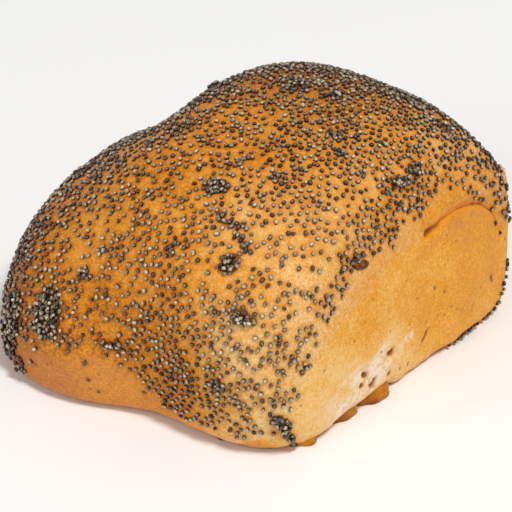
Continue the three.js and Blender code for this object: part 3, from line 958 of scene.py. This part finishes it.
class SeedSettings(bpy.types.PropertyGroup):
    length: FloatProperty(name="Length", description="Length of a poppy seed", default=1.26 * MM, **LENGTH)
    width: FloatProperty(name="Width", description="Width of a poppy seed", default=1.08 * MM, **LENGTH)
    height: FloatProperty(name="Height", description="Height of a poppy seed", default=0.94 * MM, **LENGTH)
    sink: FloatProperty(name="Sink", description="How deep a seed's foot lies in the crust",
                        default=0.14 * MM, **LENGTH)
    spacing: FloatProperty(name="Spacing", description="Least distance between single seeds",
                           default=0.9 * MM, **LENGTH)
    density: FloatProperty(name="Density", description="Single seeds, as a share of a full sprinkling",
                           default=1.0, min=0.0, max=1.2)
    company: FloatProperty(name="Company", description="Share of the single seeds with another beside them",
                           default=0.13, **SHARE)
    stone_share: FloatProperty(name="Stone share", description="Share of the seeds that are olive grey",
                               default=0.3, **SHARE)
    brown_share: FloatProperty(name="Brown share", description="Share of the seeds that are brown",
                               default=0.26, **SHARE)
    series: IntProperty(name="Series", description="Picks one scatter of the seeds", default=22, min=0)


class StageSettings(bpy.types.PropertyGroup):
    azimuth: FloatProperty(name="Azimuth", description="Where the camera stands round the roll",
                           default=math.radians(39), subtype="ANGLE")
    elevation: FloatProperty(name="Elevation", description="How far the camera looks down",
                             default=math.radians(35), subtype="ANGLE")
    distance: FloatProperty(name="Distance", description="From the camera to the roll", default=0.6,
                            min=0.3, unit="LENGTH", subtype="DISTANCE")
    lens: FloatProperty(name="Lens", description="The camera's focal length", default=177.2, min=20,
                        subtype="DISTANCE_CAMERA")
    floor_colour: FloatVectorProperty(name="Floor", description="Colour of the floor",
                                      default=linear("#FAFAF9"), size=3, min=0, max=1, subtype="COLOR")
    key_power: FloatProperty(name="Key light", description="Power of the soft light from the wall's side",
                             default=24.0, min=0, unit="POWER")
    fill_power: FloatProperty(name="Fill light", description="Power of the soft light from the left",
                              default=4.6, min=0, unit="POWER")


SEED_KINDS = (
    ("poppy_seeds_slate", ((0.0, "#40352D"), (0.35, "#897D6E"), (0.6, "#B2A695"), (1.0, "#D9CFC0")),
     ((0.0, "#FFFFFF"), (0.6, "#FFF8F2"), (1.0, "#F4E2E4"))),
    ("poppy_seeds_stone", ((0.0, "#3A3122"), (0.35, "#898062"), (0.6, "#B0A686"), (1.0, "#D6CDAE")),
     ((0.0, "#F4F6E4"), (0.5, "#FFFFFF"), (1.0, "#FFF3DE"))),
    ("poppy_seeds_brown", ((0.0, "#1B110B"), (0.35, "#4C3424"), (0.7, "#80604A"), (1.0, "#B3967E")),
     ((0.0, "#FFFFFF"), (0.5, "#FFEFE0"), (1.0, "#EED6D6"))),
)
KNOWN = {}  # what the crust's operator hands on to the seeds'


class ROLL_OT_crust(bpy.types.Operator):
    """Builds the crust with its sole, its brow crease, its torn wall, and painted shade with pooled wash round
    the seeds' feet
    """
    bl_idname = "bread_roll.crust"
    bl_label = "Crust"

    def execute(self, context):
        settings = context.scene.roll_seeds
        random = np.random.default_rng(settings.series)
        grid = crust_grid()
        single = scatter_towards(grid, settings, random)
        clumped, lifts, shifts = clump_towards(grid, random)
        on_wall = np.array([(WALL_X, y, z) for y, z in WALL_SEEDS])
        places, normals, rows, columns = on_crust(grid, np.concatenate([clumped, single, on_wall]))
        alone = np.zeros(len(single) + len(on_wall) + 1)
        KNOWN["random"] = random
        KNOWN["seeds"] = (np.append(places, [DRIP_SEED], axis=0), np.append(normals, [(0, 0, 1)], axis=0),
                          np.append(lifts, alone), np.append(shifts, alone))
        values = {**grid["values"], "halo": seed_foot_shade_and_wash(grid, rows, columns)}
        add_grid("crust", grid["points"], crust_material(context.scene.roll_crust), values)
        return {"FINISHED"}


class ROLL_OT_seeds(bpy.types.Operator):
    """Sets the slate grey, the olive grey and the brown poppy seeds on the crust"""
    bl_idname = "bread_roll.seeds"
    bl_label = "Poppy seeds"

    def execute(self, context):
        settings = context.scene.roll_seeds
        if "seeds" not in KNOWN:
            raise RuntimeError("The crust comes before the seeds")
        random = KNOWN["random"]
        edges = (1 - settings.stone_share - settings.brown_share, 1 - settings.brown_share)
        kind = np.digitize(random.random(len(KNOWN["seeds"][0])), edges)
        for index, (name, stops, tints) in enumerate(SEED_KINDS):
            chosen = [part[kind == index] for part in KNOWN["seeds"]]
            seed_piece(name, seed_material(f"{name}_coat", stops, tints), *chosen, settings, random)
        return {"FINISHED"}


class ROLL_OT_wash(bpy.types.Operator):
    """Builds the egg wash drips on the tray, and the dark blister at the seeds' edge"""
    bl_idname = "bread_roll.wash"
    bl_label = "Egg wash"

    def execute(self, context):
        amber = glassy_wash_material("set_egg_wash", (
            (0.32, "#B0640C"), (0.46, "#D88614"), (0.6, "#EA9C20"), (0.8, "#F0B448")), 2.4, 0.25)
        drips = [closed_grid_values(drip_grid(lobes, height, 61 + series))
                 for series, (lobes, height, _) in enumerate(DRIPS)]
        browned_and_shaded = [scorch_and_shade_share(drip, scorch) for drip, (_, _, scorch) in zip(drips, DRIPS)]
        add_piece("egg_wash_drips", np.concatenate(drips),
                  closed_grid_faces(DRIP_RINGS + 1, DRIP_COLUMNS, len(DRIPS)), amber,
                  {"scorch": np.concatenate(browned_and_shaded)})
        scorched = glassy_wash_material("scorched_egg_wash", (
            (0.35, "#2A0E02"), (0.5, "#602C06"), (0.62, "#A86018")), 2.0, 0.25)
        add_lump("dough_blister", BLISTER, scorched)
        return {"FINISHED"}


class ROLL_OT_lip(bpy.types.Operator):
    """Builds the pale crust that tore at the far corner"""
    bl_idname = "bread_roll.lip"
    bl_label = "Torn lip"

    def execute(self, context):
        add_lump("torn_lip", LIP, crumb_material())
        return {"FINISHED"}


def set_and_aim(name, data, place):
    """Stands a lamp or a camera at its place, looking at the roll."""
    thing = bpy.data.objects.new(name, data)
    thing.location = place
    thing.rotation_euler = (LOOKED_AT - thing.location).to_track_quat("-Z", "Y").to_euler()
    bpy.context.scene.collection.objects.link(thing)
    return thing


class ROLL_OT_stage(bpy.types.Operator):
    """Sets the pale floor, the soft studio light and the camera"""
    bl_idname = "bread_roll.stage"
    bl_label = "Stage"

    def execute(self, context):
        settings = context.scene.roll_stage
        scene = context.scene
        mesh = bpy.data.meshes.new("floor")
        corners = [(x * FLOOR_HALF, y * FLOOR_HALF, 0) for x, y in ((-1, -1), (1, -1), (1, 1), (-1, 1))]
        mesh.from_pydata(corners, [], [(0, 1, 2, 3)])
        mesh.materials.append(new_material("matt_paper", {
            "Base Color": (*settings.floor_colour, 1), "Roughness": 0.9, "Specular IOR Level": 0.2})[0])
        floor = bpy.data.objects.new("floor", mesh)
        scene.collection.objects.link(floor)
        scene.world = bpy.data.worlds.new("studio")
        scene.world.use_nodes = True
        sky = scene.world.node_tree.nodes["Background"].inputs
        sky["Color"].default_value = SKY_COLOUR
        sky["Strength"].default_value = SKY_STRENGTH
        for (name, place, size), power in zip(LAMPS, (settings.key_power, settings.fill_power)):
            light = bpy.data.lights.new(name, "AREA")
            light.size = size
            light.energy = power
            set_and_aim(name, light, place)
        level = math.cos(settings.elevation) * settings.distance
        away = Vector((math.sin(settings.azimuth) * level, -math.cos(settings.azimuth) * level,
                       math.sin(settings.elevation) * settings.distance))
        camera = set_and_aim("camera", bpy.data.cameras.new("camera"), LOOKED_AT + away)
        camera.data.lens = settings.lens
        camera.data.clip_start = 0.01
        scene.camera = camera
        scene.view_settings.view_transform = "Standard"
        return {"FINISHED"}


class ROLL_PT_panel(bpy.types.Panel):
    """Lists the pieces of the bread roll and their sizes"""
    bl_idname = "ROLL_PT_panel"
    bl_label = "Bread roll"
    bl_space_type = "VIEW_3D"
    bl_region_type = "UI"
    bl_category = "Bread roll"

    def draw(self, context):
        for operator, group in (("crust", "crust"), ("seeds", "seeds"), ("wash", None), ("lip", None),
                                ("stage", "stage")):
            box = self.layout.box()
            box.operator(f"bread_roll.{operator}")
            if group:
                settings = getattr(context.scene, f"roll_{group}")
                for name in type(settings).__annotations__:
                    box.prop(settings, name)


GROUPS = {"roll_crust": CrustSettings, "roll_seeds": SeedSettings, "roll_stage": StageSettings}
CLASSES = (*GROUPS.values(), ROLL_OT_crust, ROLL_OT_seeds, ROLL_OT_wash, ROLL_OT_lip, ROLL_OT_stage,
           ROLL_PT_panel)


def register():
    for cls in CLASSES:
        bpy.utils.register_class(cls)
    for name, group in GROUPS.items():
        setattr(bpy.types.Scene, name, PointerProperty(type=group))


def unregister():
    for name in GROUPS:
        delattr(bpy.types.Scene, name)
    for cls in reversed(CLASSES):
        bpy.utils.unregister_class(cls)


def main():
    register()
    bpy.ops.bread_roll.crust()
    bpy.ops.bread_roll.seeds()
    bpy.ops.bread_roll.wash()
    bpy.ops.bread_roll.lip()
    bpy.ops.bread_roll.stage()


if __name__ == "__main__":
    main()
